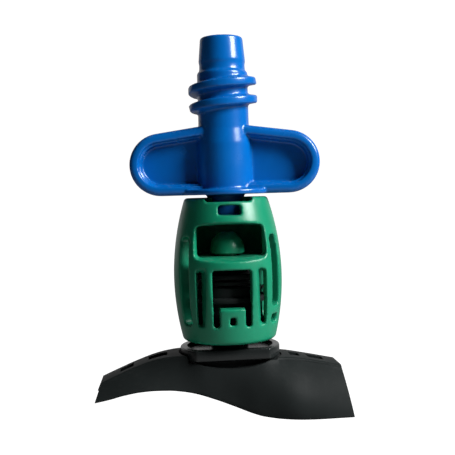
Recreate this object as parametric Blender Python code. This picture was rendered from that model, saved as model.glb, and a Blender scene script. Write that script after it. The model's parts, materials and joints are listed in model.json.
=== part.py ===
"""Hanging rotating micro-sprinkler: a winged nozzle, a slotted cage and a spinning rotor.

The frame's origin is the centre of the threaded spigot's end face, which screws into a pipe from
below. +Z points up along the spigot, +X to the right and -Y to the front, so the piece hangs down
along -Z. Sizes below are in millimetres, and heights are measured up from the lowest edge of the
rotor's hood.
"""
from math import asin, cos, pi, radians, sin, sqrt

import bmesh
import bpy
from mathutils import Vector

MM = 0.001
GAP = 0.3                     # running gap between neighbouring solids
ROUND = 40                    # segments of a large turned piece
SMALL_ROUND = 28              # segments of a small turned piece

# Nozzle: spigot, thread and column
SPIGOT_TOP = 56.1
TIP_RADIUS = 3.18
CONE_FOOT = 52.1
CONE_FOOT_RADIUS = 3.45
COLUMN_TOP = 50.7
COLUMN_RADIUS = 3.75
WATERWAY_RADIUS = 2.2
THREAD_PITCH = 2.75
THREAD_CREST = 5.1
THREAD_ROOT = 3.4
THREAD_START_Z = 45.4         # where the thread first crosses the left side
THREAD_TURNS = 1.5            # full-depth turns from the left side on
THREAD_HOLD = radians(40)     # full-depth turn before and after that
THREAD_FADE = radians(60)     # run-out at each end
CREST_WIDTH = 1.05
ROOT_WIDTH = 1.5

# Nozzle: wings, collar and neck
WING_BOTTOM = 32.6
WING_SPAN = 28.1
WING_END_RADIUS = 4.65
WING_ROOT_TOP = 43.2
WING_THICK = 5.2
WING_RIM = 1.5
WEB_THICK = 1.3
WING_COLUMN_RADIUS = 4.05
COLLAR_RADIUS = 6.4
COLLAR_THICK = 0.8
NECK_RADIUS = 2.8
NECK_BOTTOM = 28.6
LUG_REACH = 4.7
LUG_HALF_ANGLE = radians(22)

# Cage
CAGE_TOP = 32.2
CAGE_BOTTOM = 11.1
BELLY_Z = 20.5
BELLY_RADIUS = 8.05
BARREL_CURVE = 0.0138         # loss of radius per square millimetre from the belly
CAGE_YAW = radians(4.5)
CAGE_PHASE = radians(2.3)     # turns the shell's facets off the windows' edges
HEAD_FLOOR = (28.3, 29.6)
HEAD_ROOF_BOTTOM = 31.25
HEAD_CAVITY_RADIUS = 5.0
NECK_HOLE_RADIUS = NECK_RADIUS + GAP
DECK = (21.9, 23.5)
DECK_HOLE_RADIUS = 1.8
DECK_RECESS = (3.6, 22.5)     # radius and height of the recess under the deck
UPPER_BORE_RADIUS = 6.2
LOWER_BORE_RADIUS = 6.1
LEDGE = (17.95, 18.8)
LEDGE_RADIUS = 5.4
BAND_TOP = 13.7
SILL = 0.12                   # how far a window's edge stands off the deck or floor inside
ENTRY_HALF_ANGLE = radians(32)
NOTCH_BOTTOM = 31.55
UPPER_WINDOW_HALF = radians(39.5)
BLIND_WINDOW_RADIUS = 6.8     # floor of the blind window at the back
DETENT_WINDOW_HALF = radians(13.5)
DETENT_WINDOW = (29.7, 30.95)
BIG_WINDOW_HALF = radians(20)
TAB_HALF = radians(13.2)
TAB_TOP = 16.5
TAB_HOLE_HALF = radians(3.3)
TAB_HOLE = (13.9, 15.2)
FRONT_SLOTS = ((radians(28.5), radians(39.5)), (radians(50), radians(64)))
BACK_SLOTS = ((radians(25), radians(36)), (radians(55), radians(69)))
OUTER_SLOT_TOP = 26.7          # the ones at the back stop under the deck
OUTER_SLOT_BRIDGE = (15.0, 16.3)

# Bearing, stem and collar
JET_GUIDE_RADIUS = 2.6
JET_GUIDE_TOP = 27.2
JET_RADIUS = 0.8
BUSH = (12.2, 19.05)
BUSH_RADIUS = 5.0
BUSH_FLANGE = (16.8, 17.65)
BUSH_FLANGE_RADIUS = 5.8
STEM = (6.3, 21.9)
STEM_RADIUS = 1.4
STEM_BORE_RADIUS = 0.8
STEM_HOLE_RADIUS = STEM_RADIUS + GAP
WASHER = (19.35, 19.9)
WASHER_RADIUS = 4.6
STEM_COLLAR = (20.2, 21.7)
STEM_COLLAR_RADIUS = 3.1
STEM_FLANGE = (4.8, 20.9)      # radius and top of the collar's bearing flange

# Rotor
ROTOR_YAW = radians(5.4)
HUB = (8.6, 10.2)
HUB_RADIUS = 7.4
HUB_FLAT = 5.1                # distance of the hub's two flats from the axis
HUB_RIM = 1.0
HUB_RECESS = 0.6
BOSS_RADIUS = 2.8
BOSS_TOP = 11.4
SEAT_Z = HUB[0] - GAP
HOOD_WALL = 1.1
SCALLOP_RADIUS = 15.5
SCALLOP_DEPTH = 0.95
SCALLOP_INNER_Y = 3.7
# Hood outlines as (x, value): crown height, crown half width, hem height, hem half width
CROWN = ((-19.05, 5.87), (-16.5, 6.95), (-14.0, 7.95), (-11.4, 8.8), (-9.7, 9.15), (-7.5, 9.35),
         (0.0, 8.9), (7.0, 8.55), (8.6, 8.4), (10.6, 8.08), (16.2, 6.9))
CROWN_HALF = ((-19.05, 2.7), (-14.0, 2.7), (-8.0, 3.6), (-4.0, 4.7), (4.0, 4.7), (8.0, 3.6),
              (12.0, 3.1), (16.2, 3.1))
HEM = ((-19.05, 3.32), (-17.2, 3.75), (-15.7, 4.18), (-13.4, 4.6), (-11.4, 4.72), (-9.3, 4.67),
       (-8.0, 4.54), (-6.0, 4.19), (-2.75, 3.18), (0.0, 2.12), (2.5, 1.13), (4.1, 0.66), (7.0, 0.25),
       (10.5, 0.05), (13.0, 0.0), (16.2, 0.0))
HEM_HALF = ((-19.05, 4.6), (-12.0, 4.9), (-8.0, 5.0), (0.0, 5.8), (4.0, 6.5), (9.8, 7.2),
            (16.2, 7.0))
BELLY = ((-19.05, 0.45), (-3.0, 0.5), (3.0, 0.88), (7.0, 0.95), (11.0, 0.75), (16.2, 0.6))
CROWN_SLOTS = ((-16.4, -14.4), (-12.2, -9.4), (8.9, 10.4), (11.6, 14.0))
SLOT_DEPTH = 0.7
SLOT_HALF_WIDTH = 1.2
RAKE_START = 11.0             # distance from the axis where the tips begin to lean out
TIP_RAKE = {-1: 1.0, 1: 0.9}  # how far each tip's hem stands out past its crown

BLUE = (0.0, 0.12, 0.45)
GREEN = (0.01, 0.24, 0.12)
BLACK = (0.012, 0.014, 0.014)
IVORY = (0.72, 0.69, 0.6)


def clear_scene():
    for item in list(bpy.data.objects):
        bpy.data.objects.remove(item, do_unlink=True)


def plastic(name, color, roughness):
    finish = bpy.data.materials.new(name)
    finish.use_nodes = True
    shader = finish.node_tree.nodes["Principled BSDF"]
    shader.inputs["Base Color"].default_value = (*color, 1.0)
    shader.inputs["Roughness"].default_value = roughness
    shader.inputs["Metallic"].default_value = 0.0
    return finish


def solid(name, bm, finish=None, parent=None):
    """Close a bmesh in millimetres into an object in metres, smooth with sharp edges."""
    bmesh.ops.recalc_face_normals(bm, faces=bm.faces)
    bmesh.ops.translate(bm, vec=Vector((0, 0, -SPIGOT_TOP)), verts=bm.verts)
    bmesh.ops.scale(bm, vec=Vector((MM, MM, MM)), verts=bm.verts)
    mesh = bpy.data.meshes.new(name)
    bm.to_mesh(mesh)
    bm.free()
    item = bpy.data.objects.new(name, mesh)
    bpy.context.collection.objects.link(item)
    if finish:
        mesh.materials.append(finish)
        mesh.shade_smooth()
        mesh.set_sharp_from_angle(angle=radians(35))
    item.parent = parent
    return item


def turntable(name, yaw):
    """Empty on the vertical axis that carries the pieces turning with it."""
    axis = bpy.data.objects.new(name, None)
    bpy.context.collection.objects.link(axis)
    axis.rotation_euler.z = yaw
    return axis


def combine(target, tool, operation="DIFFERENCE"):
    """Boolean a tool solid into a target, and hide the tool."""
    change = target.modifiers.new(tool.name, "BOOLEAN")
    change.object = tool
    change.operation = operation
    change.solver = "EXACT"
    tool.parent = target.parent
    tool.hide_render = True
    tool.display_type = "WIRE"


def bearing_point(radius, angle, z):
    """Point at an angle measured from the front towards the right."""
    return Vector((radius * sin(angle), -radius * cos(angle), z))


def ring(bm, radius, z, segments, phase):
    if radius == 0:
        return [bm.verts.new((0, 0, z))]
    return [bm.verts.new(bearing_point(radius, phase + 2 * pi * k / segments, z))
            for k in range(segments)]


def bridge_rings(bm, upper, lower):
    count = max(len(upper), len(lower))
    for k in range(count):
        corners = [upper[k % len(upper)], upper[(k + 1) % len(upper)],
                   lower[(k + 1) % len(lower)], lower[k % len(lower)]]
        bm.faces.new(list(dict.fromkeys(corners)))


def turned(profile, segments=SMALL_ROUND, hollow=True, phase=0.0):
    """Turn a profile of (radius, z) points; a hollow one closes on itself."""
    bm = bmesh.new()
    rings = [ring(bm, radius, z, segments, phase) for radius, z in profile]
    pairs = list(zip(rings, rings[1:]))
    if hollow:
        pairs.append((rings[-1], rings[0]))
    for upper, lower in pairs:
        bridge_rings(bm, upper, lower)
    return bm


def tube(inner, outer, bottom, top, segments=SMALL_ROUND):
    return turned([(inner, top), (outer, top), (outer, bottom), (inner, bottom)], segments)


def rod(radius, bottom, top, segments=SMALL_ROUND):
    return turned([(0, top), (radius, top), (radius, bottom), (0, bottom)], segments, hollow=False)


def extruded(outline, start, end, place):
    """Extrude a flat outline; place(u, v, depth) gives each point's position."""
    bm = bmesh.new()
    near = [bm.verts.new(place(u, v, start)) for u, v in outline]
    far = [bm.verts.new(place(u, v, end)) for u, v in outline]
    bm.faces.new(near)
    bm.faces.new(far)
    bridge_rings(bm, near, far)
    return bm


def along_y(u, v, depth):
    return Vector((u, depth, v))


def along_z(u, v, depth):
    return Vector((u, v, depth))


def add_sector(bm, radii, angles, heights, steps=6):
    """Add a block bounded by two radii, two angles and two heights."""
    arcs = []
    for z in heights:
        for radius in radii:
            arc = []
            for k in range(steps + 1):
                angle = angles[0] + (angles[1] - angles[0]) * k / steps
                arc.append(bm.verts.new(bearing_point(radius, angle, z)))
            arcs.append(arc)
    low_in, low_out, high_in, high_out = arcs
    strips = ((low_in, low_out), (low_out, high_out), (high_out, high_in), (high_in, low_in))
    for first, second in strips:
        for k in range(steps):
            bm.faces.new((first[k], first[k + 1], second[k + 1], second[k]))
    for k in (0, steps):
        bm.faces.new((low_in[k], low_out[k], high_out[k], high_in[k]))


def sectors(name, blocks, turns=(0, pi)):
    """Separate sector blocks as one tool, repeated at each turn about the axis."""
    bm = bmesh.new()
    for turn in turns:
        for radii, angles, heights in blocks:
            add_sector(bm, radii, (angles[0] + turn, angles[1] + turn), heights)
    return solid(name, bm)


def both_sides(half_from, half_to):
    return ((half_from, half_to), (-half_to, -half_from))


# ---------------------------------------------------------------- nozzle

def nozzle_body():
    profile = [(0, SPIGOT_TOP), (TIP_RADIUS - 0.3, SPIGOT_TOP), (TIP_RADIUS, SPIGOT_TOP - 0.3),
               (CONE_FOOT_RADIUS, CONE_FOOT), (CONE_FOOT_RADIUS + 0.02, COLUMN_TOP + 0.3),
               (COLUMN_RADIUS, COLUMN_TOP), (COLUMN_RADIUS, WING_ROOT_TOP + 0.6),
               (WING_COLUMN_RADIUS, WING_ROOT_TOP - 1.5),
               (WING_COLUMN_RADIUS, WING_BOTTOM + COLLAR_THICK),
               (COLLAR_RADIUS, WING_BOTTOM + COLLAR_THICK), (COLLAR_RADIUS, WING_BOTTOM),
               (NECK_RADIUS, WING_BOTTOM), (NECK_RADIUS, NECK_BOTTOM), (0, NECK_BOTTOM)]
    return turned(profile, ROUND, hollow=False)


def thread_ridge():
    """Right-hand ridge that rises from the left over the front to the right."""
    bm = bmesh.new()
    start = -pi / 2 - THREAD_HOLD - THREAD_FADE
    sweep = 2 * (pi * THREAD_TURNS + THREAD_HOLD + THREAD_FADE)
    steps = 64
    sections = []
    for k in range(steps + 1):
        turn = sweep * k / steps
        angle = start + turn
        z = THREAD_START_Z + THREAD_PITCH * (angle + pi / 2) / (2 * pi)
        depth = min(1.0, turn / THREAD_FADE, (sweep - turn) / THREAD_FADE)
        crest = THREAD_ROOT + 0.1 + (THREAD_CREST - THREAD_ROOT - 0.1) * sqrt(max(depth, 0.0))
        sections.append([bm.verts.new(bearing_point(radius, angle, z + rise)) for radius, rise in (
            (THREAD_ROOT, -ROOT_WIDTH / 2), (crest, -CREST_WIDTH / 2),
            (crest, CREST_WIDTH / 2), (THREAD_ROOT, ROOT_WIDTH / 2))])
    for first, second in zip(sections, sections[1:]):
        bridge_rings(bm, first, second)
    bm.faces.new(sections[0])
    bm.faces.new(sections[-1])
    return bm


def wing_outline(inset, root_x, steps=10):
    """Right half of the wings' outline: level bottom, round end, top rising to the root."""
    radius = WING_END_RADIUS - inset
    centre_x = WING_SPAN / 2 - WING_END_RADIUS
    centre_z = WING_BOTTOM + WING_END_RADIUS
    rise = asin((WING_ROOT_TOP - WING_BOTTOM - 2 * WING_END_RADIUS) / centre_x)
    points = []
    for k in range(steps + 1):
        angle = -pi / 2 + (pi + rise * -1) * k / steps
        points.append((centre_x + radius * cos(angle), centre_z + radius * sin(angle)))
    last_x, last_z = points[-1]
    points.append((root_x, last_z + (last_x - root_x) * sin(rise) / cos(rise)))
    points.append((root_x, WING_BOTTOM + inset))
    return points


def wings():
    half = wing_outline(0, 0)[:-1]
    outline = half[:-1] + [half[-1]] + [(-x, z) for x, z in reversed(half[:-1])]
    return extruded(outline, -WING_THICK / 2, WING_THICK / 2, along_y)


def wing_pocket(side, front):
    """Pocket on one face of one wing, ending against the column."""
    outline = [(side * x, z) for x, z in wing_outline(WING_RIM, WING_COLUMN_RADIUS - 1.5)]
    return extruded(outline, front * WEB_THICK / 2, front * WING_THICK, along_y)


def build_nozzle(finish):
    nozzle = solid("wing_nozzle", nozzle_body(), finish)
    combine(nozzle, solid("tool_wings", wings()), "UNION")
    for side in (-1, 1):
        for front in (-1, 1):
            pocket = wing_pocket(side, front)
            combine(nozzle, solid(f"tool_pocket_{side}_{front}", pocket))
    column = rod(WING_COLUMN_RADIUS - 0.01, WING_BOTTOM + 0.2, WING_ROOT_TOP - 1.0, ROUND)
    combine(nozzle, solid("tool_column", column), "UNION")
    combine(nozzle, solid("tool_thread", thread_ridge()), "UNION")
    lug = ((NECK_RADIUS - 0.5, LUG_REACH), (pi / 2 - LUG_HALF_ANGLE, pi / 2 + LUG_HALF_ANGLE),
           (HEAD_FLOOR[1] + GAP, HEAD_ROOF_BOTTOM - GAP))
    combine(nozzle, sectors("tool_lugs", [lug]), "UNION")
    bore = turned([(0, SPIGOT_TOP + 1), (WATERWAY_RADIUS, SPIGOT_TOP + 1),
                   (WATERWAY_RADIUS, NECK_BOTTOM + 0.8), (1.2, NECK_BOTTOM + 0.8),
                   (1.2, NECK_BOTTOM - 1), (0, NECK_BOTTOM - 1)], SMALL_ROUND, hollow=False)
    combine(nozzle, solid("tool_waterway", bore))


def build_jet_insert(finish):
    bottom = NECK_BOTTOM + 0.8 + GAP
    radius = WATERWAY_RADIUS - GAP
    profile = [(1.6, bottom + 3.2), (radius, bottom + 3.2), (radius, bottom), (0.45, bottom),
               (0.45, bottom + 0.9)]
    solid("jet_insert", turned(profile), finish)


# ---------------------------------------------------------------- cage

def barrel(z):
    return BELLY_RADIUS - BARREL_CURVE * (z - BELLY_Z) ** 2


def cage_shell():
    height = CAGE_TOP - CAGE_BOTTOM
    rows = 12
    outer = [(barrel(CAGE_TOP - height * k / rows), CAGE_TOP - height * k / rows)
             for k in range(rows + 1)]
    inner = [(LOWER_BORE_RADIUS, CAGE_BOTTOM), (LOWER_BORE_RADIUS, LEDGE[0]),
             (LEDGE_RADIUS, LEDGE[0]), (LEDGE_RADIUS, LEDGE[1]), (UPPER_BORE_RADIUS, LEDGE[1]),
             (UPPER_BORE_RADIUS, DECK[0]), (DECK_RECESS[0], DECK[0]), DECK_RECESS,
             (DECK_HOLE_RADIUS, DECK_RECESS[1]), (DECK_HOLE_RADIUS, DECK[1]),
             (UPPER_BORE_RADIUS, DECK[1]), (UPPER_BORE_RADIUS, HEAD_FLOOR[0]),
             (NECK_HOLE_RADIUS, HEAD_FLOOR[0]),
             (NECK_HOLE_RADIUS, HEAD_FLOOR[1]), (HEAD_CAVITY_RADIUS, HEAD_FLOOR[1]),
             (HEAD_CAVITY_RADIUS, HEAD_ROOF_BOTTOM), (NECK_HOLE_RADIUS, HEAD_ROOF_BOTTOM),
             (NECK_HOLE_RADIUS, CAGE_TOP)]
    return turned(outer + inner, ROUND, phase=CAGE_PHASE)


def head_openings():
    """Entry slots for the nozzle's lugs, the notches over them and the detent windows."""
    entry = ((NECK_RADIUS - 0.4, HEAD_CAVITY_RADIUS - 0.05),
             (-ENTRY_HALF_ANGLE, ENTRY_HALF_ANGLE), (HEAD_ROOF_BOTTOM - 0.5, CAGE_TOP + 1))
    return sectors("tool_entries", [entry])


def window_blocks():
    wall = (4.4, 9.5)
    head_wall = (HEAD_CAVITY_RADIUS - 0.5, 9.5)
    blocks = [
        (head_wall, (-DETENT_WINDOW_HALF, DETENT_WINDOW_HALF), DETENT_WINDOW),
        (wall, (-BIG_WINDOW_HALF, BIG_WINDOW_HALF), (TAB_TOP, DECK[0] - SILL)),
        (wall, (-TAB_HOLE_HALF, TAB_HOLE_HALF), TAB_HOLE)]
    for angles in both_sides(TAB_HALF, BIG_WINDOW_HALF):
        blocks.append((wall, angles, (BAND_TOP, TAB_TOP + 0.5)))
    return blocks


def slot_blocks(inner, outer, top):
    """Two slots on each side of a window; the far right one has a bridge low down."""
    wall = (4.4, 9.5)
    blocks = [(wall, angles, (BAND_TOP, DECK[0] - SILL)) for angles in both_sides(*inner)]
    blocks.append((wall, (-outer[1], -outer[0]), (BAND_TOP, top)))
    blocks.append((wall, outer, (OUTER_SLOT_BRIDGE[1], top)))
    blocks.append((wall, outer, (BAND_TOP + 0.2, OUTER_SLOT_BRIDGE[0])))
    return blocks


def build_cage(finish, axis):
    cage = solid("cage", cage_shell(), finish, axis)
    hook = ((5.4, LOWER_BORE_RADIUS + 0.4), (-radians(10), radians(10)), (TAB_TOP - 1.0, TAB_TOP - 0.1))
    combine(cage, sectors("tool_hooks", [hook]), "UNION")
    combine(cage, head_openings())
    notch = ((NECK_RADIUS - 0.6, 9.0), (-ENTRY_HALF_ANGLE - 0.01, ENTRY_HALF_ANGLE + 0.01),
             (NOTCH_BOTTOM, CAGE_TOP + 0.9))
    combine(cage, sectors("tool_notches", [notch]))
    for number, block in enumerate(window_blocks()):
        combine(cage, sectors(f"tool_window_{number}", [block]))
    front = slot_blocks(*FRONT_SLOTS, OUTER_SLOT_TOP)
    back = slot_blocks(*BACK_SLOTS, DECK[0] - SILL)
    for name, turn, blocks in (("front", 0, front), ("back", pi, back)):
        for number, block in enumerate(blocks):
            combine(cage, sectors(f"tool_{name}_slot_{number}", [block], turns=(turn,)))
    upper = (-UPPER_WINDOW_HALF, UPPER_WINDOW_HALF), (DECK[1] + SILL, HEAD_FLOOR[0] - SILL)
    combine(cage, sectors("tool_upper_window", [((4.4, 9.5), *upper)], turns=(0,)))
    combine(cage, sectors("tool_blind_window", [((BLIND_WINDOW_RADIUS, 9.5), *upper)], turns=(pi,)))


def build_jet_guide(finish, axis):
    base = DECK[1] + GAP
    dome = [(JET_GUIDE_RADIUS * cos(a), base + 0.4 + (JET_GUIDE_TOP - base - 0.4) * sin(a))
            for a in (radians(75 - 15 * k) for k in range(6))]
    plug = DECK_HOLE_RADIUS - GAP
    plug_end = DECK_RECESS[1] + 0.25
    profile = [(JET_RADIUS, plug_end), (JET_RADIUS, JET_GUIDE_TOP - 0.8)] + dome + [
        (JET_GUIDE_RADIUS, base), (plug, base), (plug, plug_end)]
    solid("jet_guide", turned(profile), finish, axis)


def build_bush(finish, axis):
    lip = 0.35
    profile = [(STEM_HOLE_RADIUS, BUSH[1]), (BUSH_RADIUS - lip, BUSH[1]),
               (BUSH_RADIUS, BUSH[1] - lip), (BUSH_RADIUS, BUSH_FLANGE[1]),
               (BUSH_FLANGE_RADIUS, BUSH_FLANGE[1]), (BUSH_FLANGE_RADIUS, BUSH_FLANGE[0]),
               (BUSH_RADIUS, BUSH_FLANGE[0]), (BUSH_RADIUS, BUSH[0] + lip),
               (BUSH_RADIUS - lip, BUSH[0]), (STEM_HOLE_RADIUS, BUSH[0])]
    solid("bearing_bush", turned(profile, 32), finish, axis)


# ---------------------------------------------------------------- rotor

def value_at(x, points):
    """Height or width at x, straight between hand-placed points."""
    if x <= points[0][0]:
        return points[0][1]
    for (x0, v0), (x1, v1) in zip(points, points[1:]):
        if x <= x1:
            return v0 + (v1 - v0) * (x - x0) / (x1 - x0)
    return points[-1][1]


def hood_section(x):
    """Closed section of the hood at x: a crown with two flared walls, open below."""
    crown, hem = value_at(x, CROWN), value_at(x, HEM)
    crown_half, hem_half = value_at(x, CROWN_HALF), value_at(x, HEM_HALF)
    side = -1 if x < 0 else 1
    tip = abs(CROWN[0][0] if side < 0 else CROWN[-1][0])
    rake = side * TIP_RAKE[side] * max(0.0, (abs(x) - RAKE_START) / (tip - RAKE_START)) ** 2
    shoulder = 0.45
    waist = (crown + hem) / 2
    waist_half = crown_half + value_at(x, BELLY) * (hem_half - crown_half)
    outer = [(-hem_half, hem), (-waist_half, waist), (-crown_half, crown - shoulder),
             (-crown_half + shoulder, crown), (crown_half - shoulder, crown),
             (crown_half, crown - shoulder), (waist_half, waist), (hem_half, hem)]
    inner = [(hem_half - HOOD_WALL, hem), (waist_half - HOOD_WALL, waist - 0.2),
             (crown_half - HOOD_WALL, crown - HOOD_WALL), (-crown_half + HOOD_WALL, crown - HOOD_WALL),
             (-waist_half + HOOD_WALL, waist - 0.2), (-hem_half + HOOD_WALL, hem)]
    points = []
    for y, z in outer + inner:
        lean = (crown - z) / (crown - hem)
        points.append((x + rake * lean, y, z))
    return points


def hood():
    bm = bmesh.new()
    left, right = CROWN[0][0], CROWN[-1][0]
    stations = [left + (right - left) * k / 36 for k in range(37)]
    sections = [[bm.verts.new(point) for point in hood_section(x)] for x in stations]
    for first, second in zip(sections, sections[1:]):
        bridge_rings(bm, first, second)
    bm.faces.new(sections[0])
    bm.faces.new(sections[-1])
    return bm


def scallop(side):
    """Long shallow hollow over the hood's front or back shoulder, under the hub's flat."""
    chord = sqrt(SCALLOP_RADIUS ** 2 - (SCALLOP_RADIUS - SCALLOP_DEPTH) ** 2)
    centre_z = SEAT_Z - SCALLOP_DEPTH + SCALLOP_RADIUS
    reach = asin(chord / SCALLOP_RADIUS) * 1.15
    arc = [(SCALLOP_RADIUS * sin(a), centre_z - SCALLOP_RADIUS * cos(a))
           for a in (reach * (k / 6 - 1) for k in range(13))]
    outline = arc + [(arc[-1][0], SEAT_Z + 2), (arc[0][0], SEAT_Z + 2)]
    return extruded(outline, side * SCALLOP_INNER_Y, side * 10, along_y)


def build_deflector(finish, axis):
    deflector = solid("rotor_deflector", hood(), finish, axis)
    combine(deflector, solid("tool_seat", rod(HUB_RADIUS + GAP, SEAT_Z, SEAT_Z + 3, ROUND)))
    combine(deflector, solid("tool_stem_hole", rod(STEM_HOLE_RADIUS, SEAT_Z - 2, SEAT_Z + 1)))
    for side in (-1, 1):
        combine(deflector, solid(f"tool_scallop_{side}", scallop(side)))
    for number, (x0, x1) in enumerate(CROWN_SLOTS):
        outline = [(x0, value_at(x0, CROWN) - SLOT_DEPTH), (x1, value_at(x1, CROWN) - SLOT_DEPTH),
                   (x1, HUB[1]), (x0, HUB[1])]
        slot = extruded(outline, -SLOT_HALF_WIDTH, SLOT_HALF_WIDTH, along_y)
        combine(deflector, solid(f"tool_slot_{number}", slot))


def hub_outline(inset, steps=9):
    """Circle with two flats, front and back."""
    radius, flat = HUB_RADIUS - inset, HUB_FLAT - inset
    reach = asin(flat / radius)
    right = [(radius * cos(a), radius * sin(a))
             for a in (reach * (2 * k / steps - 1) for k in range(steps + 1))]
    return right + [(-x, -y) for x, y in right]


def build_stem_collar(finish, axis):
    """Sleeve on the stem, with the wide flange that the rotor hangs by."""
    flange_radius, flange_top = STEM_FLANGE
    profile = [(STEM_HOLE_RADIUS, STEM_COLLAR[1]), (STEM_COLLAR_RADIUS, STEM_COLLAR[1]),
               (STEM_COLLAR_RADIUS, flange_top), (flange_radius, flange_top),
               (flange_radius, STEM_COLLAR[0]), (STEM_HOLE_RADIUS, STEM_COLLAR[0])]
    solid("stem_collar", turned(profile, 32), finish, axis)


def build_hub(finish, axis):
    hub = solid("rotor_hub", extruded(hub_outline(0), HUB[0], HUB[1], along_z), finish, axis)
    recess = extruded(hub_outline(HUB_RIM), HUB[1] - HUB_RECESS, HUB[1] + 1, along_z)
    combine(hub, solid("tool_hub_recess", recess))
    combine(hub, solid("tool_hub_boss", rod(BOSS_RADIUS, HUB[0] + 0.4, BOSS_TOP)), "UNION")
    combine(hub, solid("tool_hub_hole", rod(STEM_HOLE_RADIUS, HUB[0] - 1, BOSS_TOP + 1)))


def build_ramp(finish, axis):
    """Block with a quarter-round face that turns the falling jet towards the deep wing."""
    back, lip, top, foot = -2.9, 3.6, 6.9, 2.9
    radius = 3.0
    curve = [(-1.5 + radius - radius * cos(a), 6.3 - radius * sin(a))
             for a in (pi / 2 * k / 6 for k in range(7))]
    outline = [(back, top), (-1.6, top)] + curve + [(lip, 3.2), (lip, foot - 0.4), (back, foot + 0.9)]
    solid("jet_ramp", extruded(outline, -2.9, 2.9, along_y), finish, axis)


def main():
    clear_scene()
    blue = plastic("blue_plastic", BLUE, 0.3)
    green = plastic("green_plastic", GREEN, 0.35)
    black = plastic("black_plastic", BLACK, 0.3)
    ivory = plastic("ivory_plastic", IVORY, 0.4)
    cage_axis = turntable("cage_axis", CAGE_YAW)
    rotor_axis = turntable("rotor_axis", ROTOR_YAW)
    build_nozzle(blue)
    build_jet_insert(ivory)
    build_cage(green, cage_axis)
    build_jet_guide(green, cage_axis)
    build_bush(black, cage_axis)
    solid("thrust_washer", tube(STEM_HOLE_RADIUS, WASHER_RADIUS, *WASHER), black)
    solid("rotor_stem", tube(STEM_BORE_RADIUS, STEM_RADIUS, *STEM), black, rotor_axis)
    build_stem_collar(black, rotor_axis)
    build_hub(black, rotor_axis)
    build_deflector(black, rotor_axis)
    build_ramp(black, rotor_axis)


main()
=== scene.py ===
# %% [markdown]
# # A hanging micro-sprinkler
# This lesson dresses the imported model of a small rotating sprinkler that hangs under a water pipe.
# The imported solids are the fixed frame: they say where everything is and how it moves. Each visible
# piece is modelled again here with the soft edges and the finish of moulded plastic.

# %% Load the frame
import json
from math import asin, cos, pi, radians, sin, sqrt, tan

import bpy
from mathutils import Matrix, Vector

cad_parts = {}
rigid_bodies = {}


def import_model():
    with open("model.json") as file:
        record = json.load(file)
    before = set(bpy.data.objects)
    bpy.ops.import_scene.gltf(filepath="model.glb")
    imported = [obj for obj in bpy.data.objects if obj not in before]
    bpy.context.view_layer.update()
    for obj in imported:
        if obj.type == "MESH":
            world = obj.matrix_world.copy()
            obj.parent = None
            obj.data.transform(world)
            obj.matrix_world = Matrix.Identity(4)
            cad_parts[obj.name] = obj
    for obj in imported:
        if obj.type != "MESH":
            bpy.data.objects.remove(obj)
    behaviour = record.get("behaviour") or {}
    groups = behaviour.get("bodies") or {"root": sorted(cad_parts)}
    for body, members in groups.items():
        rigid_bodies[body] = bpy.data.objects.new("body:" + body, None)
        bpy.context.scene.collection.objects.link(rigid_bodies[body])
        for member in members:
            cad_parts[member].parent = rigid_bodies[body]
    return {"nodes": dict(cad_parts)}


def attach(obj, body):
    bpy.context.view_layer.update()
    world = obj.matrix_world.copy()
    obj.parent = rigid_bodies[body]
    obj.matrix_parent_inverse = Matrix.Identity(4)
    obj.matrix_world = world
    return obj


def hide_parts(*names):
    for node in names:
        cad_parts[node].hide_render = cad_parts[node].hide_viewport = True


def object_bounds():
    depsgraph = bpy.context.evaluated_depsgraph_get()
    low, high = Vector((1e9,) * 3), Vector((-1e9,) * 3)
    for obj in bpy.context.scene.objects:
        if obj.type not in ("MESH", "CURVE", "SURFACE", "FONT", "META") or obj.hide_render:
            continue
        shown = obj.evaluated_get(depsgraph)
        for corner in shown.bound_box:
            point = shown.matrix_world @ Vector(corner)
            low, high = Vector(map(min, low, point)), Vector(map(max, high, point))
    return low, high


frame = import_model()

CAD_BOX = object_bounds()
MM = 0.001
HEM = CAD_BOX[0][2]
print("nodes:", ", ".join(sorted(frame["nodes"])))

# %% [markdown]
# ## Working by hand, in code
# Everything is modelled in edit mode, as at the keyboard. Heights are easiest to think of from the
# lowest edge of the rotor, in millimetres, so one helper turns them into places in the frame. The
# helpers below add a line of points, spin it, fill it or cut with it, and always start by
# deselecting everything, because an operator acts on all that is selected.

# %% Helpers for modelling


def place(x, y, height):
    """A point from millimetres, with its height measured up from the rotor's lowest edge."""
    return Vector((x * MM, y * MM, HEM + height * MM))


def deselect():
    for item in bpy.data.objects:
        item.select_set(False)


def activate(piece):
    deselect()
    piece.select_set(True)
    bpy.context.view_layer.objects.active = piece


def edit(piece, mode="EDGE"):
    activate(piece)
    bpy.ops.object.mode_set(mode="EDIT")
    bpy.ops.mesh.select_mode(type=mode)


def leave():
    bpy.ops.object.mode_set(mode="OBJECT")


def draw_line(name, points, closed=False):
    """Draw a line of points by extruding one vertex along it."""
    deselect()
    bpy.ops.mesh.primitive_plane_add(size=MM, location=(0, 0, 0))
    line = bpy.context.object
    line.name = name
    edit(line, "VERT")
    bpy.ops.mesh.select_all(action="SELECT")
    bpy.ops.mesh.merge(type="CENTER")
    bpy.ops.transform.translate(value=points[0])
    for start, end in zip(points, points[1:]):
        bpy.ops.mesh.extrude_region_move(TRANSFORM_OT_translate={"value": end - start})
    if closed:
        bpy.ops.mesh.select_all(action="SELECT")
        leave()
        ends = (0, len(line.data.vertices) - 1)
        edit(line, "VERT")
        bpy.ops.mesh.select_all(action="DESELECT")
        leave()
        for index in ends:
            line.data.vertices[index].select = True
        edit(line, "VERT")
        bpy.ops.mesh.edge_face_add()
    leave()
    return line


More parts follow.
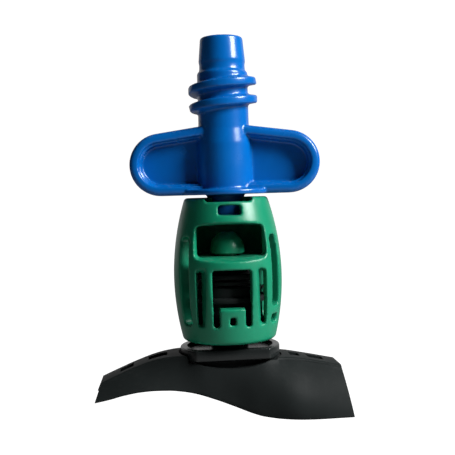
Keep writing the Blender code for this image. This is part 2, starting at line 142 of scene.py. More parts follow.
def tidy_mesh(piece):
    """Merge doubled points and turn every face outwards."""
    edit(piece, "VERT")
    bpy.ops.mesh.select_all(action="SELECT")
    bpy.ops.mesh.remove_doubles(threshold=0.002 * MM)
    bpy.ops.mesh.dissolve_degenerate(threshold=0.001 * MM)
    bpy.ops.mesh.normals_make_consistent(inside=False)
    leave()


def turn(name, profile, steps=96, angle=2 * pi, start=0.0):
    """Turn a closed profile of (radius, height) about the upright axis, from the front rightwards."""
    points = [place(radius * sin(start), -radius * cos(start), height) for radius, height in profile]
    piece = draw_line(name, points, closed=True)
    edit(piece, "EDGE")
    bpy.ops.mesh.select_all(action="SELECT")
    if angle < 2 * pi:
        bpy.ops.mesh.edge_face_add()
    bpy.ops.mesh.spin(steps=steps, angle=-angle, center=(0, 0, 0), axis=(0, 0, 1))
    leave()
    tidy_mesh(piece)
    return piece


def extrude_outline(name, points, direction):
    """Fill a flat outline and extrude it into a closed block."""
    block = draw_line(name, points, closed=True)
    edit(block, "EDGE")
    bpy.ops.mesh.select_all(action="SELECT")
    bpy.ops.mesh.edge_face_add()
    bpy.ops.mesh.extrude_region_move(TRANSFORM_OT_translate={"value": direction})
    leave()
    tidy_mesh(block)
    return block


def spin_about_axis(piece, angle):
    """Turn a piece about the upright axis, with the turn in its mesh."""
    edit(piece, "VERT")
    bpy.ops.mesh.select_all(action="SELECT")
    bpy.ops.transform.rotate(value=-angle, orient_axis="Z", center_override=(0, 0, 0))
    leave()
    return piece


def apply_modifier(piece, kind, **settings):
    activate(piece)
    change = piece.modifiers.new(kind.title(), kind)
    for key, value in settings.items():
        setattr(change, key, value)
    bpy.ops.object.modifier_apply(modifier=change.name)


def cut(piece, tool, operation="DIFFERENCE"):
    """Boolean a tool into a piece, and throw the tool away."""
    apply_modifier(piece, "BOOLEAN", object=tool, operation=operation, solver="EXACT")
    bpy.data.objects.remove(tool)


def merge_pieces(first, others):
    activate(first)
    for item in others:
        item.select_set(True)
    bpy.ops.object.join()
    return first


def soften(piece, voxel, passes=4):
    """Melt overlapping shapes into one skin and round its edges as a mould does."""
    apply_modifier(piece, "REMESH", mode="VOXEL", voxel_size=voxel * MM, use_smooth_shade=True)
    apply_modifier(piece, "SMOOTH", factor=0.5, iterations=passes)
    activate(piece)
    bpy.ops.object.shade_smooth()
    print(f"{piece.name}: {len(piece.data.polygons)} faces after softening")


def smooth_sides(piece, limit=32):
    """Shade a piece smooth, but keep its real corners."""
    activate(piece)
    bpy.ops.object.shade_smooth_by_angle(angle=radians(limit))
    print(f"{piece.name}: {len(piece.data.polygons)} faces")


# %% [markdown]
# ## The slotted block
# Windows and slots are cut with a block whose corners are rounded, pushed in from outside. A cube
# is added at the front, its four depth edges are bevelled, and it is turned to its angle.

# %% A window tool


def window_tool(centre, width, heights, reach, corner, flare=0.0, angle=0.0):
    """A block with round corners from the inner to the outer reach, opening outwards."""
    low, high = heights
    inner, outer = reach
    deselect()
    middle = place(centre, -(inner + outer) / 2, (low + high) / 2)
    bpy.ops.mesh.primitive_cube_add(size=1, location=middle)
    tool = bpy.context.object
    tool.dimensions = (width * MM, (outer - inner) * MM, (high - low) * MM)
    bpy.ops.object.transform_apply(location=True, rotation=True, scale=True)
    edit(tool, "EDGE")
    bpy.ops.mesh.select_all(action="DESELECT")
    leave()
    points = tool.data.vertices
    for edge in tool.data.edges:
        first, second = (points[index].co for index in edge.vertices)
        edge.select = abs(first.y - second.y) > 0.5 * (outer - inner) * MM
    edit(tool, "EDGE")
    bpy.ops.mesh.bevel(offset=corner * MM, segments=6, affect="EDGES")
    bpy.ops.mesh.select_all(action="DESELECT")
    leave()
    for face in tool.data.polygons:
        face.select = face.normal.y < -0.9
    edit(tool, "FACE")
    spread = 2 * (outer - inner) * tan(flare)
    bpy.ops.transform.resize(value=(1 + spread / width, 1, 1 + spread / (high - low)))
    leave()
    return spin_about_axis(tool, angle)


# %% [markdown]
# ## Plastic that has been moulded
# All the pieces are injection mouldings. Their colour is in the plastic, so it is even, with a very
# fine skin from the steel of the mould, faint flow marks, edges that shine a little paler, and a
# trace of dust on flat tops. Three small node groups make those effects once, and each plastic
# places them with its own strength.

# %% Node groups for the plastics


def new_group(name, inputs, outputs):
    group = bpy.data.node_groups.new(name, "ShaderNodeTree")
    for label, kind, value in inputs:
        socket = group.interface.new_socket(label, in_out="INPUT", socket_type=kind)
        if value is not None:
            socket.default_value = value
    for label, kind in outputs:
        group.interface.new_socket(label, in_out="OUTPUT", socket_type=kind)
    return group, group.nodes.new("NodeGroupInput"), group.nodes.new("NodeGroupOutput")


def math_node(nodes, links, operation, first, second):
    node = nodes.new("ShaderNodeMath")
    node.operation = operation
    for socket, value in zip(node.inputs, (first, second)):
        if isinstance(value, bpy.types.NodeSocket):
            links.new(value, socket)
        else:
            socket.default_value = value
    return node.outputs[0]


def make_skin_group():
    """Fine mould texture: a height for bump and a small change of roughness."""
    group, source, result = new_group(
        "mould_skin", [("Vector", "NodeSocketVector", None), ("Strength", "NodeSocketFloat", 1.0)],
        [("Height", "NodeSocketFloat"), ("Roughness shift", "NodeSocketFloat")])
    nodes, links = group.nodes, group.links
    fine = nodes.new("ShaderNodeTexNoise")
    fine.inputs["Scale"].default_value = 2600
    fine.inputs["Detail"].default_value = 3
    broad = nodes.new("ShaderNodeTexNoise")
    broad.inputs["Scale"].default_value = 240
    broad.inputs["Detail"].default_value = 4
    for noise in (fine, broad):
        links.new(source.outputs["Vector"], noise.inputs["Vector"])
    mixed = math_node(nodes, links, "ADD", fine.outputs["Fac"],
                      math_node(nodes, links, "MULTIPLY", broad.outputs["Fac"], 1.6))
    links.new(math_node(nodes, links, "MULTIPLY", mixed, source.outputs["Strength"]),
              result.inputs["Height"])
    centred = math_node(nodes, links, "SUBTRACT", broad.outputs["Fac"], 0.5)
    links.new(math_node(nodes, links, "MULTIPLY", centred, 0.22), result.inputs["Roughness shift"])
    return group


def make_edge_group():
    """Mask of the worn, convex edges, broken up by noise."""
    group, source, result = new_group(
        "worn_edges", [("Vector", "NodeSocketVector", None), ("Amount", "NodeSocketFloat", 0.5)],
        [("Mask", "NodeSocketFloat")])
    nodes, links = group.nodes, group.links
    geometry = nodes.new("ShaderNodeNewGeometry")
    ramp = nodes.new("ShaderNodeMapRange")
    ramp.inputs["From Min"].default_value = 0.53
    ramp.inputs["From Max"].default_value = 0.62
    links.new(geometry.outputs["Pointiness"], ramp.inputs["Value"])
    noise = nodes.new("ShaderNodeTexNoise")
    noise.inputs["Scale"].default_value = 700
    links.new(source.outputs["Vector"], noise.inputs["Vector"])
    broken = math_node(nodes, links, "MULTIPLY", ramp.outputs["Result"], noise.outputs["Fac"])
    links.new(math_node(nodes, links, "MULTIPLY", broken, source.outputs["Amount"]),
              result.inputs["Mask"])
    return group


def make_flow_group():
    """Slow clouds of slightly lighter and darker plastic, with a little dust on flat tops."""
    group, source, result = new_group(
        "flow_and_dust", [("Vector", "NodeSocketVector", None), ("Dust", "NodeSocketFloat", 0.1)],
        [("Cloud", "NodeSocketFloat"), ("Dust mask", "NodeSocketFloat")])
    nodes, links = group.nodes, group.links
    cloud = nodes.new("ShaderNodeTexNoise")
    cloud.inputs["Scale"].default_value = 90
    cloud.inputs["Distortion"].default_value = 1.5
    specks = nodes.new("ShaderNodeTexNoise")
    specks.inputs["Scale"].default_value = 1500
    specks.inputs["Detail"].default_value = 6
    for noise in (cloud, specks):
        links.new(source.outputs["Vector"], noise.inputs["Vector"])
    links.new(cloud.outputs["Fac"], result.inputs["Cloud"])
    geometry = nodes.new("ShaderNodeNewGeometry")
    split = nodes.new("ShaderNodeSeparateXYZ")
    links.new(geometry.outputs["Normal"], split.inputs[0])
    upward = nodes.new("ShaderNodeMapRange")
    upward.inputs["From Min"].default_value = 0.2
    upward.inputs["From Max"].default_value = 1.0
    links.new(split.outputs["Z"], upward.inputs["Value"])
    threshold = nodes.new("ShaderNodeMapRange")
    threshold.inputs["From Min"].default_value = 0.5
    threshold.inputs["From Max"].default_value = 0.72
    links.new(specks.outputs["Fac"], threshold.inputs["Value"])
    both = math_node(nodes, links, "MULTIPLY", upward.outputs["Result"], threshold.outputs["Result"])
    links.new(math_node(nodes, links, "MULTIPLY", both, source.outputs["Dust"]),
              result.inputs["Dust mask"])
    return group


MOULD_SKIN = make_skin_group()
WORN_EDGES = make_edge_group()
FLOW_AND_DUST = make_flow_group()
print("groups:", MOULD_SKIN.name, WORN_EDGES.name, FLOW_AND_DUST.name)

# %% Build one plastic


def use_group(nodes, links, group, coordinate, **values):
    node = nodes.new("ShaderNodeGroup")
    node.node_tree = group
    links.new(coordinate, node.inputs["Vector"])
    for label, value in values.items():
        node.inputs[label].default_value = value
    return node


def mix_colors(nodes, links, factor, first, second):
    node = nodes.new("ShaderNodeMix")
    node.data_type = "RGBA"
    links.new(factor, node.inputs[0])
    for socket, value in ((node.inputs[6], first), (node.inputs[7], second)):
        if isinstance(value, tuple):
            socket.default_value = (*value, 1.0)
        else:
            links.new(value, socket)
    return node.outputs[2]


def moulded_plastic(name, dark, light, worn, roughness, wear, dust, glow, gloss=0.5):
    """A plastic between two close colours, with its skin, worn edges and dust."""
    finish = bpy.data.materials.new(name)
    finish.use_nodes = True
    nodes, links = finish.node_tree.nodes, finish.node_tree.links
    shader = nodes["Principled BSDF"]
    coordinate = nodes.new("ShaderNodeTexCoord").outputs["Object"]
    skin = use_group(nodes, links, MOULD_SKIN, coordinate, Strength=1.0)
    edges = use_group(nodes, links, WORN_EDGES, coordinate, Amount=wear)
    flow = use_group(nodes, links, FLOW_AND_DUST, coordinate, Dust=dust)
    body = mix_colors(nodes, links, flow.outputs["Cloud"], dark, light)
    rubbed = mix_colors(nodes, links, edges.outputs["Mask"], body, worn)
    dusty = mix_colors(nodes, links, flow.outputs["Dust mask"], rubbed, (0.55, 0.53, 0.5))
    links.new(dusty, shader.inputs["Base Color"])
    rough = math_node(nodes, links, "ADD", skin.outputs["Roughness shift"], roughness)
    rough = math_node(nodes, links, "ADD", rough, math_node(
        nodes, links, "MULTIPLY", flow.outputs["Dust mask"], 0.5))
    links.new(rough, shader.inputs["Roughness"])
    bump = nodes.new("ShaderNodeBump")
    bump.inputs["Strength"].default_value = 0.12
    bump.inputs["Distance"].default_value = 0.02 * MM
    links.new(skin.outputs["Height"], bump.inputs["Height"])
    links.new(bump.outputs["Normal"], shader.inputs["Normal"])
    shader.inputs["IOR"].default_value = 1.49
    shader.inputs["Specular IOR Level"].default_value = gloss
    shader.inputs["Subsurface Weight"].default_value = glow
    shader.inputs["Subsurface Radius"].default_value = (0.6 * MM, 0.6 * MM, 0.8 * MM)
    return finish


BLUE = moulded_plastic("blue_moulding", (0.0, 0.088, 0.35), (0.0, 0.122, 0.43), (0.08, 0.3, 0.68),
                       0.24, 0.25, 0.06, 0.04, 0.4)
GREEN = moulded_plastic("green_moulding", (0.003, 0.18, 0.09), (0.006, 0.24, 0.128),
                        (0.13, 0.45, 0.29), 0.34, 0.25, 0.1, 0.04, 0.35)
BLACK = moulded_plastic("black_moulding", (0.009, 0.011, 0.011), (0.014, 0.017, 0.017),
                        (0.05, 0.054, 0.054), 0.52, 0.15, 0.01, 0.0, 0.05)
POLISHED = moulded_plastic("polished_black", (0.009, 0.011, 0.011), (0.014, 0.017, 0.017),
                           (0.06, 0.064, 0.064), 0.24, 0.25, 0.01, 0.0, 0.32)
IVORY = moulded_plastic("ivory_moulding", (0.62, 0.58, 0.48), (0.72, 0.68, 0.58),
                        (0.85, 0.82, 0.75), 0.4, 0.2, 0.05, 0.1)


def finish_piece(piece, finish, body, slot, *nodes):
    """Give a piece its plastic, its body in the frame and the solids it stands for."""
    piece.data.materials.clear()
    piece.data.materials.append(finish)
    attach(piece, body)
    for node in nodes:
        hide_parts(node)


# %% [markdown]
# ## The winged nozzle
# The blue piece is one moulding: a tapered spigot with a self-tapping thread, a column, two wings
# for the fingers, a round collar, and the neck with two lugs that locks into the cage. The column is
# turned, the wings are blocks with sunk faces, and the thread is a ridge screwed round the column.
# The shapes only have to overlap, because the softening step melts them into one skin.

# %% Turn the column


def column():
    profile = [(2.2, 56.1), (2.9, 56.1), (3.1, 56.02), (3.2, 55.8), (3.5, 52.4), (3.44, 52.25),
               (3.4, 51.9), (3.42, 51.3), (3.5, 50.95), (3.72, 50.8), (3.78, 50.7), (3.78, 43.4),
               (3.8, 42.4), (4.08, 40.2), (4.08, 33.4), (6.25, 33.4), (6.4, 33.25), (6.4, 32.75),
               (6.25, 32.6), (2.8, 32.6), (2.8, 28.6), (1.2, 28.6), (1.2, 29.4), (2.2, 29.4)]
    return turn("nozzle_moulding", profile, 128)


# %% Shape the wings
WING_REACH, WING_END_RADIUS = 14.1, 4.65
WING_BOTTOM, WING_ROOT_TOP = 32.6, 43.2
WING_HALF_THICK = 2.6


def wing_points(inset, root_x, depth, side):
    """Outline of one wing: level bottom, round end and a top that rises to the column."""
    radius = WING_END_RADIUS - inset
    centre = (WING_REACH - WING_END_RADIUS, WING_BOTTOM + WING_END_RADIUS)
    rise = asin((WING_ROOT_TOP - WING_BOTTOM - 2 * WING_END_RADIUS) / centre[0])
    steps = 24
    flat = []
    for k in range(steps + 1):
        angle = -pi / 2 + (pi - rise) * k / steps
        flat.append((centre[0] + radius * cos(angle), centre[1] + radius * sin(angle)))
    last_x, last_z = flat[-1]
    flat.append((root_x, last_z + (last_x - root_x) * tan(rise)))
    flat.append((root_x, WING_BOTTOM + inset))
    return [place(side * x, depth, height) for x, height in flat]


def wing(side):
    """One wing with its rounded rim and a stepped pocket sunk into both faces."""
    block = extrude_outline("wing", wing_points(0, 2.5, -WING_HALF_THICK, side),
                            (0, 2 * WING_HALF_THICK * MM, 0))
    apply_modifier(block, "BEVEL", width=0.72 * MM, segments=6, limit_method="ANGLE",
                   angle_limit=radians(50))
    for face in (-1, 1):
        for inset, floor in ((1.35, 2.0), (1.7, 0.6)):
            tool = extrude_outline("pocket", wing_points(inset, 1.5, face * floor, side),
                                   (0, face * 4 * MM, 0))
            cut(block, tool)
    return block


# %% Screw the thread
PITCH = 2.75
THREAD_LEFT = 45.4              # height where the thread first crosses the left side
THREAD_FOOT = 3.3               # radius that the ridge sinks to at its ends
THREAD_STEPS = 150


def thread():
    """Right-hand ridge that runs out into the column at both ends."""
    fade, lead = radians(60), radians(100)
    sweep = 3 * pi + 2 * lead
    start = -pi / 2 - lead
    low = THREAD_LEFT - PITCH * lead / (2 * pi)
    section = [(3.4, -0.85), (5.0, -0.6), (5.16, -0.45), (5.16, 0.45), (5.0, 0.6), (3.4, 0.85)]
    points = [place(radius * sin(start), -radius * cos(start), low + rise)
              for radius, rise in section]
    ridge = draw_line("thread", points, closed=True)
    climb = PITCH * MM * sweep / (2 * pi) / THREAD_STEPS
    edit(ridge, "EDGE")
    bpy.ops.mesh.select_all(action="SELECT")
    bpy.ops.mesh.edge_face_add()
    leave()
    for _ in range(THREAD_STEPS):
        edit(ridge, "FACE")
        bpy.ops.mesh.extrude_region_move(TRANSFORM_OT_translate={"value": (0, 0, climb)})
        bpy.ops.transform.rotate(value=-sweep / THREAD_STEPS, orient_axis="Z",
                                 center_override=(0, 0, 0))
        leave()
    tidy_mesh(ridge)
    pitch_turn = PITCH * MM / (2 * pi)
    for point in ridge.data.vertices:
        radius = sqrt(point.co.x ** 2 + point.co.y ** 2)
        turned = (point.co.z - place(0, 0, low).z) / pitch_turn
        depth = min(1.0, max(0.0, turned / fade), max(0.0, (sweep - turned) / fade))
        wanted = THREAD_FOOT * MM + (radius - THREAD_FOOT * MM) * sqrt(depth)
        point.co.x *= wanted / radius
        point.co.y *= wanted / radius
    return ridge


# %% Join the nozzle


def nozzle():
    piece = column()
    parts = [wing(-1), wing(1), thread()]
    for side in (0, pi):
        section = [(2.3, 30.95), (4.7, 30.95), (4.7, 29.9), (2.3, 29.9)]
        parts.append(turn("lug", section, 12, radians(44), pi / 2 - radians(22) + side))
    piece = merge_pieces(piece, parts)
    soften(piece, 0.165, 3)
    return piece


finish_piece(nozzle(), BLUE, "nozzle", "blue_plastic", "wing_nozzle")

# %% Turn the insert with the calibrated hole
insert_profile = [(1.6, 32.9), (1.78, 32.9), (1.9, 32.78), (1.9, 29.82), (1.78, 29.7), (0.45, 29.7),
                  (0.45, 30.5), (1.45, 32.2)]
insert = turn("insert_moulding", insert_profile, 64)
activate(insert)
bpy.ops.object.shade_smooth_by_angle(angle=radians(35))
finish_piece(insert, IVORY, "nozzle", "ivory_plastic", "jet_insert")

# %% [markdown]
# ## The slotted cage
# The green barrel is turned with its whole inside: the head that takes the nozzle's lugs, the floor
# under it, the deck that carries the jet guide, and the ledge over the bearing. Then the windows and
# slots are cut with round-cornered tools, each turned to its angle, front and back.

# %% Turn the barrel
BELLY_RADIUS, BELLY_HEIGHT, BARREL_CURVE = 8.07, 20.5, 0.0138
CAGE_TOP, CAGE_BOTTOM = 32.2, 11.1


def barrel(height):
    """Outer radius of the cage at a height."""
    return BELLY_RADIUS - BARREL_CURVE * (height - BELLY_HEIGHT) ** 2


def cage_profile():
    rows = 30
    top, bottom = CAGE_TOP - 0.25, CAGE_BOTTOM + 0.3
    outer = [(barrel(CAGE_TOP) - 0.25, CAGE_TOP)]
    for k in range(rows + 1):
        height = top - (top - bottom) * k / rows
        outer.append((barrel(height), height))
    outer.append((barrel(CAGE_BOTTOM) - 0.35, CAGE_BOTTOM))
    inner = [(6.1, CAGE_BOTTOM), (6.1, 17.95), (5.4, 17.95), (5.4, 18.8), (6.2, 18.8), (6.2, 21.9),
             (3.6, 21.9), (3.6, 22.5), (1.8, 22.5), (1.8, 23.5), (6.2, 23.5), (6.2, 28.3),
             (3.1, 28.3), (3.1, 29.6), (5.0, 29.6), (5.0, 31.25), (3.1, 31.25), (3.1, CAGE_TOP)]
    return outer + inner


CAGE_YAW = radians(4.5)
WALL = (4.5, 10)                # from inside the bore to outside the barrel


def cage_windows():
    """Every opening: middle, width, heights, reach, corner, flare, angle, and its repeats."""
    around = (0, pi)
    flare = radians(13)
    slot = (13.95, 21.6)
    windows = [(0, 10.0, (23.7, 28.1), (5.2, 10), 0.6, flare, 0, (0,)),
               (0, 9.5, (23.62, 28.2), (4.0, 6), 0.6, 0, 0, (0,)),
               (0, 8.9, (23.62, 28.18), (6.8, 10), 0.7, flare, 0, (pi,)),
               (0, 3.1, (29.7, 30.95), WALL, 0.25, radians(4), 0, around),
               (0, 5.3, (16.5, 21.7), WALL, 0.3, radians(3), 0, around),
               (0, 0.85, (13.95, 15.15), WALL, 0.15, 0, 0, around),
               (0, 6.7, (31.55, 33.2), (2.4, 10), 0.05, 0, 0, around)]
    for side in (-1, 1):
        windows.append((side * 2.28, 0.9, (13.7, 17.2), WALL, 0.3, 0, 0, around))
        windows.append((side * 4.48, 0.55, slot, (3.4, 5.4), 0.2, 0, 0, (0,)))
        windows.append((side * 4.48, 0.6, slot, (5.2, 9.0), 0.25, radians(15), 0, (0,)))
        windows.append((0, 1.1, slot, (4.4, 9.5), 0.25, radians(3), side * radians(30.5), (pi,)))
    for turned, top, out in ((0, 26.5, radians(57)), (pi, 21.7, radians(62))):
        tilt = radians(4)
        windows.append((0, 1.7, (13.9, top), (5.4, 10), 0.7, tilt, -out, (turned,)))
        windows.append((0, 1.7, (16.4, top), (5.4, 10), 0.6, tilt, out, (turned,)))
        windows.append((0, 1.5, (14.0, 14.95), (5.4, 10), 0.4, tilt, out, (turned,)))
    return windows


def cage():
    piece = turn("cage_moulding", cage_profile(), 128)
    for *shape, angle, turns in cage_windows():
        for turned in turns:
            cut(piece, window_tool(*shape, angle + turned))
    hooks = []
    for turned in (0, pi):
        entry = [(2.4, 33.0), (4.95, 33.0), (4.95, 30.8), (2.4, 30.8)]
        cut(piece, turn("entry", entry, 12, radians(64), turned - radians(32)))
        hook = [(5.4, 16.35), (6.6, 16.35), (6.6, 15.2), (6.1, 15.2)]
        hooks.append(turn("hook", hook, 8, radians(20), turned - radians(10)))
    piece = merge_pieces(piece, hooks)
    soften(piece, 0.175, 5)
    return spin_about_axis(piece, CAGE_YAW)


finish_piece(cage(), GREEN, "cage", "green_plastic", "cage")

# %% Turn the jet guide


def jet_guide():
    dome = [(2.6 * cos(radians(degrees)), 24.2 + 3.0 * sin(radians(degrees)))
            for degrees in range(72, -1, -8)]
    profile = [(0.8, 22.75), (0.8, 26.5), (0.95, 27.0)] + dome + [
        (2.6, 23.95), (2.45, 23.8), (1.5, 23.8), (1.5, 22.75)]
    piece = turn("guide_moulding", profile, 96)
    activate(piece)
    bpy.ops.object.shade_smooth_by_angle(angle=radians(40))
    return piece


finish_piece(jet_guide(), GREEN, "cage", "green_plastic", "jet_guide")

# %% [markdown]
# ## The bearing
# The black bush hangs in the cage on its flange, and the rotor hangs in the bush on the collar of
# its hollow stem, with a thin washer between. All four are turned, with small chamfers.

# %% Turn the bearing pieces


def turned_piece(name, profile, body, *nodes):
    piece = turn(name, profile, 96)
    activate(piece)
    bpy.ops.object.shade_smooth_by_angle(angle=radians(30))
    finish_piece(piece, BLACK, body, "black_plastic", *nodes)
    return piece


turned_piece("bush_moulding", [
    (1.7, 19.05), (4.7, 19.05), (4.92, 18.95), (5.0, 18.75), (5.0, 17.65), (5.6, 17.65),
    (5.74, 17.58), (5.8, 17.45), (5.8, 17.0), (5.74, 16.87), (5.6, 16.8), (5.0, 16.8),
    (5.0, 12.5), (4.9, 12.28), (4.7, 12.2), (1.7, 12.2)], "cage", "bearing_bush")
turned_piece("washer_moulding", [
    (1.7, 19.9), (4.5, 19.9), (4.6, 19.8), (4.6, 19.45), (4.5, 19.35), (1.7, 19.35)],
    "bearing_float", "thrust_washer")
turned_piece("stem_moulding", [
    (0.8, 21.9), (1.3, 21.9), (1.4, 21.8), (1.4, 6.4), (1.3, 6.3), (0.8, 6.3)], "rotor", "rotor_stem")
turned_piece("collar_moulding", [
    (1.7, 21.7), (2.9, 21.7), (3.05, 21.62), (3.1, 21.5), (3.1, 20.9), (4.6, 20.9), (4.74, 20.82),
    (4.8, 20.7), (4.8, 20.4), (4.74, 20.26), (4.6, 20.2), (1.7, 20.2)], "rotor", "stem_collar")

# %% [markdown]
# ## The rotor's hub
# A round black disc with two flats carries a raised rim, with a boss round the stem. Its outline is
# extruded and bevelled, sunk on top, and joined to its boss.

# %% Shape the hub
ROTOR_YAW = radians(5.4)
HUB_BOTTOM, HUB_THICK = 8.6, 1.6
HUB_RADIUS, HUB_FLAT = 7.4, 5.1
HUB_RIM = 1.0


def hub_points(inset, height, steps=48):
    """Outline of the disc: two round ends joined by two flats."""
    radius, flat = HUB_RADIUS - inset, HUB_FLAT - inset
    reach = asin(flat / radius)
    points = []
    for side in (0, pi):
        for k in range(steps + 1):
            angle = side + reach * (2 * k / steps - 1)
            points.append(place(radius * cos(angle), radius * sin(angle), height))
    return points


def hub():
    piece = extrude_outline("hub_moulding", hub_points(0, HUB_BOTTOM), (0, 0, HUB_THICK * MM))
    apply_modifier(piece, "BEVEL", width=0.25 * MM, segments=4, limit_method="ANGLE",
                   angle_limit=radians(30))
    cut(piece, extrude_outline("recess", hub_points(HUB_RIM, HUB_BOTTOM + 1.0), (0, 0, 2 * MM)))
    boss = turn("boss", [(0.5, 11.4), (2.6, 11.4), (2.74, 11.34), (2.8, 11.2), (2.8, 9.0),
                         (0.5, 9.0)], 96)
    cut(piece, boss, "UNION")
    cut(piece, turn("hole", [(0.0001, 12), (1.7, 12), (1.7, 8), (0.0001, 8)], 64))
    smooth_sides(piece)
    return spin_about_axis(piece, ROTOR_YAW)


finish_piece(hub(), POLISHED, "rotor", "black_plastic", "rotor_hub")

# %% [markdown]
# ## The drooping hood
# The rotor's wings are one thin hood, open below. Its section is a crown with two flared walls. The
# section is drawn once at the long wing's tip and extruded along, and each new ring is eased to
# the height and width that the hood has there.

# %% Outlines of the hood
CROWN = ((-19.05, 5.87), (-16.5, 6.95), (-14.0, 7.95), (-11.4, 8.8), (-9.7, 9.15), (-7.5, 9.35),
         (0.0, 8.9), (7.0, 8.55), (8.6, 8.4), (10.6, 8.08), (16.2, 6.9))
CROWN_HALF = ((-19.05, 2.7), (-14.0, 2.7), (-8.0, 3.6), (-4.0, 4.7), (4.0, 4.7), (8.0, 3.6),
              (12.0, 3.1), (16.2, 3.1))
HEM_HEIGHT = ((-19.05, 3.32), (-17.2, 3.75), (-15.7, 4.18), (-13.4, 4.6), (-11.4, 4.72),
              (-9.3, 4.67), (-8.0, 4.54), (-6.0, 4.19), (-2.75, 3.18), (0.0, 2.12), (2.5, 1.13),
              (4.1, 0.66), (7.0, 0.25), (10.5, 0.05), (13.0, 0.0), (16.2, 0.0))
HEM_HALF = ((-19.05, 4.6), (-12.0, 4.9), (-8.0, 5.0), (0.0, 5.8), (4.0, 6.5), (9.8, 7.2),
            (16.2, 7.0))
BELLY = ((-19.05, 0.45), (-3.0, 0.5), (3.0, 0.88), (7.0, 0.95), (11.0, 0.75), (16.2, 0.6))


def eased(x, points):
    """Smooth value at x that passes through the points without overshooting."""
    xs = [p[0] for p in points]
    ys = [p[1] for p in points]
    slopes = [(ys[k + 1] - ys[k]) / (xs[k + 1] - xs[k]) for k in range(len(xs) - 1)]
    tangents = [slopes[0]]
    for before, after in zip(slopes, slopes[1:]):
        same_way = before * after > 0
        tangents.append(2 * before * after / (before + after) if same_way else 0.0)
    tangents.append(slopes[-1])
    x = min(max(x, xs[0]), xs[-1])
    k = max(i for i in range(len(xs) - 1) if xs[i] <= x)
    width = xs[k + 1] - xs[k]
    t = (x - xs[k]) / width
    return ((2 * t ** 3 - 3 * t ** 2 + 1) * ys[k] + (t ** 3 - 2 * t ** 2 + t) * width * tangents[k]
            + (-2 * t ** 3 + 3 * t ** 2) * ys[k + 1] + (t ** 3 - t ** 2) * width * tangents[k + 1])


# %% Extrude the hood ring by ring
HOOD_WALL = 1.1
HEM_ROUND, SHOULDER_ROUND = 0.22, 0.4
LEAN_START, LEAN_SPAN = 11.0, 8.1
LEAN = {-1: -1.0, 1: 2.2}       # how far a tip leans out after a whole span past the start
RINGS = 120
SEAT = 8.3                      # height of the seat that the hub lies over


def hood_ring(x):
    """Closed section at x: a flat crown between two walls that swell out over the deep wing."""
    steps, lip, bend = 12, HEM_ROUND, SHOULDER_ROUND
    crown, hem = eased(x, CROWN), eased(x, HEM_HEIGHT)
    top, low = eased(x, CROWN_HALF), eased(x, HEM_HALF)
    swell = 4 * (eased(x, BELLY) - 0.5)
    lean = LEAN[-1 if x < 0 else 1] * max(0.0, (abs(x) - LEAN_START) / LEAN_SPAN) ** 2
    outer, inner = [], []
    for k in range(steps + 1):
        t = 1 - k / steps
        width = top + (low - top) * (t + swell * t * (1 - t))
        outer.append((-width, hem + lip + (crown - bend - hem - lip) * (1 - t)))
        inner.append((width - HOOD_WALL, hem + (crown - HOOD_WALL - hem) * (1 - t)))
    outer = [(-low + lip, hem), (-low + 0.3 * lip, hem + 0.3 * lip)] + outer
    for degrees in (22, 45, 68, 90):
        angle = radians(degrees)
        outer.append((-top + bend - bend * cos(angle), crown - bend + bend * sin(angle)))
    outline = outer + [(-y, z) for y, z in reversed(outer)] + inner + [
        (-y, z) for y, z in reversed(inner)]
    return [place(x + lean * (crown - z) / (crown - hem), y, z) for y, z in outline]


def hood():
    left, right = CROWN[0][0], CROWN[-1][0]
    step = (right - left) / RINGS * MM
    shift = Vector((step, 0, 0))
    points = hood_ring(left)
    piece = draw_line("hood_moulding", points, closed=True)
    edit(piece, "EDGE")
    bpy.ops.mesh.select_all(action="SELECT")
    bpy.ops.mesh.edge_face_add()
    leave()
    for k in range(1, RINGS + 1):
        edit(piece, "FACE")
        bpy.ops.mesh.extrude_region_move(TRANSFORM_OT_translate={"value": (step, 0, 0)})
        leave()
        ring = [v for v in piece.data.vertices if v.select]
        wanted = hood_ring(left + (right - left) * k / RINGS)
        previous = hood_ring(left + (right - left) * (k - 1) / RINGS)
        for vertex in ring:
            nearest = min(range(len(previous)),
                          key=lambda i: (previous[i] + shift - vertex.co).length)
            vertex.co = wanted[nearest]
    tidy_mesh(piece)
    return piece


def crown_slot(start, end):
    """A long shallow hollow sunk into the crown, with round ends."""
    drop = 0.7
    low = (eased(start, CROWN), eased(end, CROWN))
    points = [place(start, -1.2, low[0] - drop), place(end, -1.2, low[1] - drop),
              place(end, -1.2, 11), place(start, -1.2, 11)]
    return extrude_outline("crown_slot", points, (0, 2.4 * MM, 0))


def scallop(side):
    """Long shallow hollow in the shoulder under the hub's flat."""
    radius, depth = 15.5, 0.95
    centre = SEAT - depth + radius
    points = []
    for k in range(25):
        angle = 0.4 * (k / 12 - 1)
        points.append(place(radius * sin(angle), side * 3.7, centre - radius * cos(angle)))
    points += [points[-1] + Vector((0, 0, 2 * MM)), points[0] + Vector((0, 0, 2 * MM))]
    return extrude_outline("scallop", points, (0, side * 7 * MM, 0))


def rotor_hood():
    piece = hood()
    cut(piece, turn("seat", [(0.0001, 11.5), (7.7, 11.5), (7.7, SEAT), (0.0001, SEAT)], 128))
    cut(piece, turn("stem_hole", [(0.0001, 9.5), (1.7, 9.5), (1.7, 6), (0.0001, 6)], 64))
    for side in (-1, 1):
        cut(piece, scallop(side))
    for start, end in ((-16.4, -14.4), (-12.2, -9.4), (8.9, 10.4), (11.6, 14.0)):
        cut(piece, crown_slot(start, end))
    smooth_sides(piece)
    return spin_about_axis(piece, ROTOR_YAW)


finish_piece(rotor_hood(), BLACK, "rotor", "black_plastic", "rotor_deflector")

# %% Shape the ramp that turns the jet


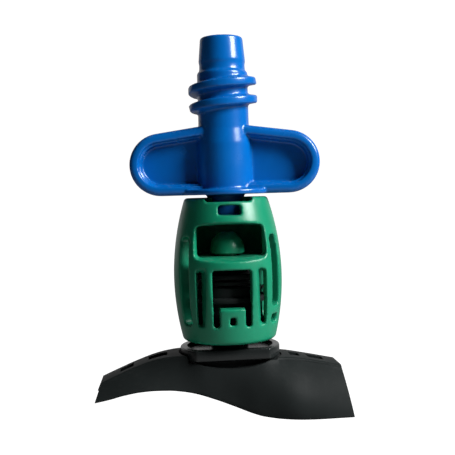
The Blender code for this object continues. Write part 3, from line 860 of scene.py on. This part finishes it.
def ramp():
    curve = [(-1.5 + 3.0 - 3.0 * cos(pi / 2 * k / 16), 6.3 - 3.0 * sin(pi / 2 * k / 16))
             for k in range(17)]
    outline = [(-2.9, 6.9), (-1.6, 6.9)] + curve + [(3.6, 3.2), (3.6, 2.5), (-2.9, 3.8)]
    points = [place(x, -2.9, height) for x, height in outline]
    piece = extrude_outline("ramp_moulding", points, (0, 5.8 * MM, 0))
    soften(piece, 0.1, 3)
    return spin_about_axis(piece, ROTOR_YAW)


finish_piece(ramp(), BLACK, "rotor", "black_plastic", "jet_ramp")

# %% [markdown]
# ## The studio
# The piece is shown hanging in front of white, as on a catalogue page: a pale floor far below it, a
# pale wall behind, and one soft key light from the upper right.

# %% Floor and backdrop


def light_table(name, camera_level, elsewhere):
    """A pale surface that the camera sees evenly white, and that lights the piece more weakly."""
    finish = bpy.data.materials.new(name)
    finish.use_nodes = True
    nodes, links = finish.node_tree.nodes, finish.node_tree.links
    shader = nodes["Principled BSDF"]
    shader.inputs["Base Color"].default_value = (0.3, 0.3, 0.3, 1.0)
    shader.inputs["Roughness"].default_value = 0.9
    shader.inputs["Emission Color"].default_value = (1, 1, 1, 1)
    seen = nodes.new("ShaderNodeLightPath").outputs["Is Camera Ray"]
    extra = math_node(nodes, links, "MULTIPLY", seen, camera_level - elsewhere)
    links.new(math_node(nodes, links, "ADD", extra, elsewhere), shader.inputs["Emission Strength"])
    return finish


def studio_plane(name, location, tilt, finish):
    deselect()
    bpy.ops.mesh.primitive_plane_add(size=3.0, location=location, rotation=(tilt, 0, 0))
    plane = bpy.context.object
    plane.name = name
    plane.data.materials.append(finish)


studio_plane("studio_floor", place(0, 0, -45), 0, light_table("pale_floor", 1.0, 0.1))
studio_plane("studio_wall", place(0, 1200, 0), pi / 2, light_table("pale_wall", 1.0, 0.5))

# %% Lights


def area_light(name, direction, distance, size, power):
    """A square lamp that looks at the middle of the piece."""
    data = bpy.data.lights.new(name, "AREA")
    data.size = size * MM
    data.energy = power
    light = bpy.data.objects.new(name, data)
    bpy.context.collection.objects.link(light)
    towards = Vector(direction).normalized()
    light.location = place(0, 0, 28) + towards * distance * MM
    light.rotation_euler = towards.to_track_quat("Z", "Y").to_euler()


def surround(seen_by_camera, elsewhere):
    """White to the camera, much dimmer as a source of light."""
    world = bpy.data.worlds.new("studio")
    bpy.context.scene.world = world
    world.use_nodes = True
    nodes, links = world.node_tree.nodes, world.node_tree.links
    seen = nodes.new("ShaderNodeLightPath").outputs["Is Camera Ray"]
    level = math_node(nodes, links, "MULTIPLY", seen, seen_by_camera - elsewhere)
    background = nodes["Background"]
    background.inputs["Color"].default_value = (1, 1, 1, 1)
    links.new(math_node(nodes, links, "ADD", level, elsewhere), background.inputs["Strength"])


area_light("key", (2.0, -1.0, 1.35), 300, 120, 1.85)
surround(1.0, 0.022)
bpy.context.scene.view_settings.view_transform = "Standard"

# %% Camera
# The lens stands level with the gap between nozzle and cage, close in, and is rolled a little.
camera_data = bpy.data.cameras.new("view")
camera_data.sensor_width = 36
camera_data.lens = 67.2527
camera_data.shift_y = -0.075824
camera = bpy.data.objects.new("view", camera_data)
bpy.context.collection.objects.link(camera)
camera.location = place(0.3, -127.5, 32.8)
camera.rotation_euler = (pi / 2, radians(1.66), 0)
camera_data.clip_start = 0.01
bpy.context.scene.camera = camera
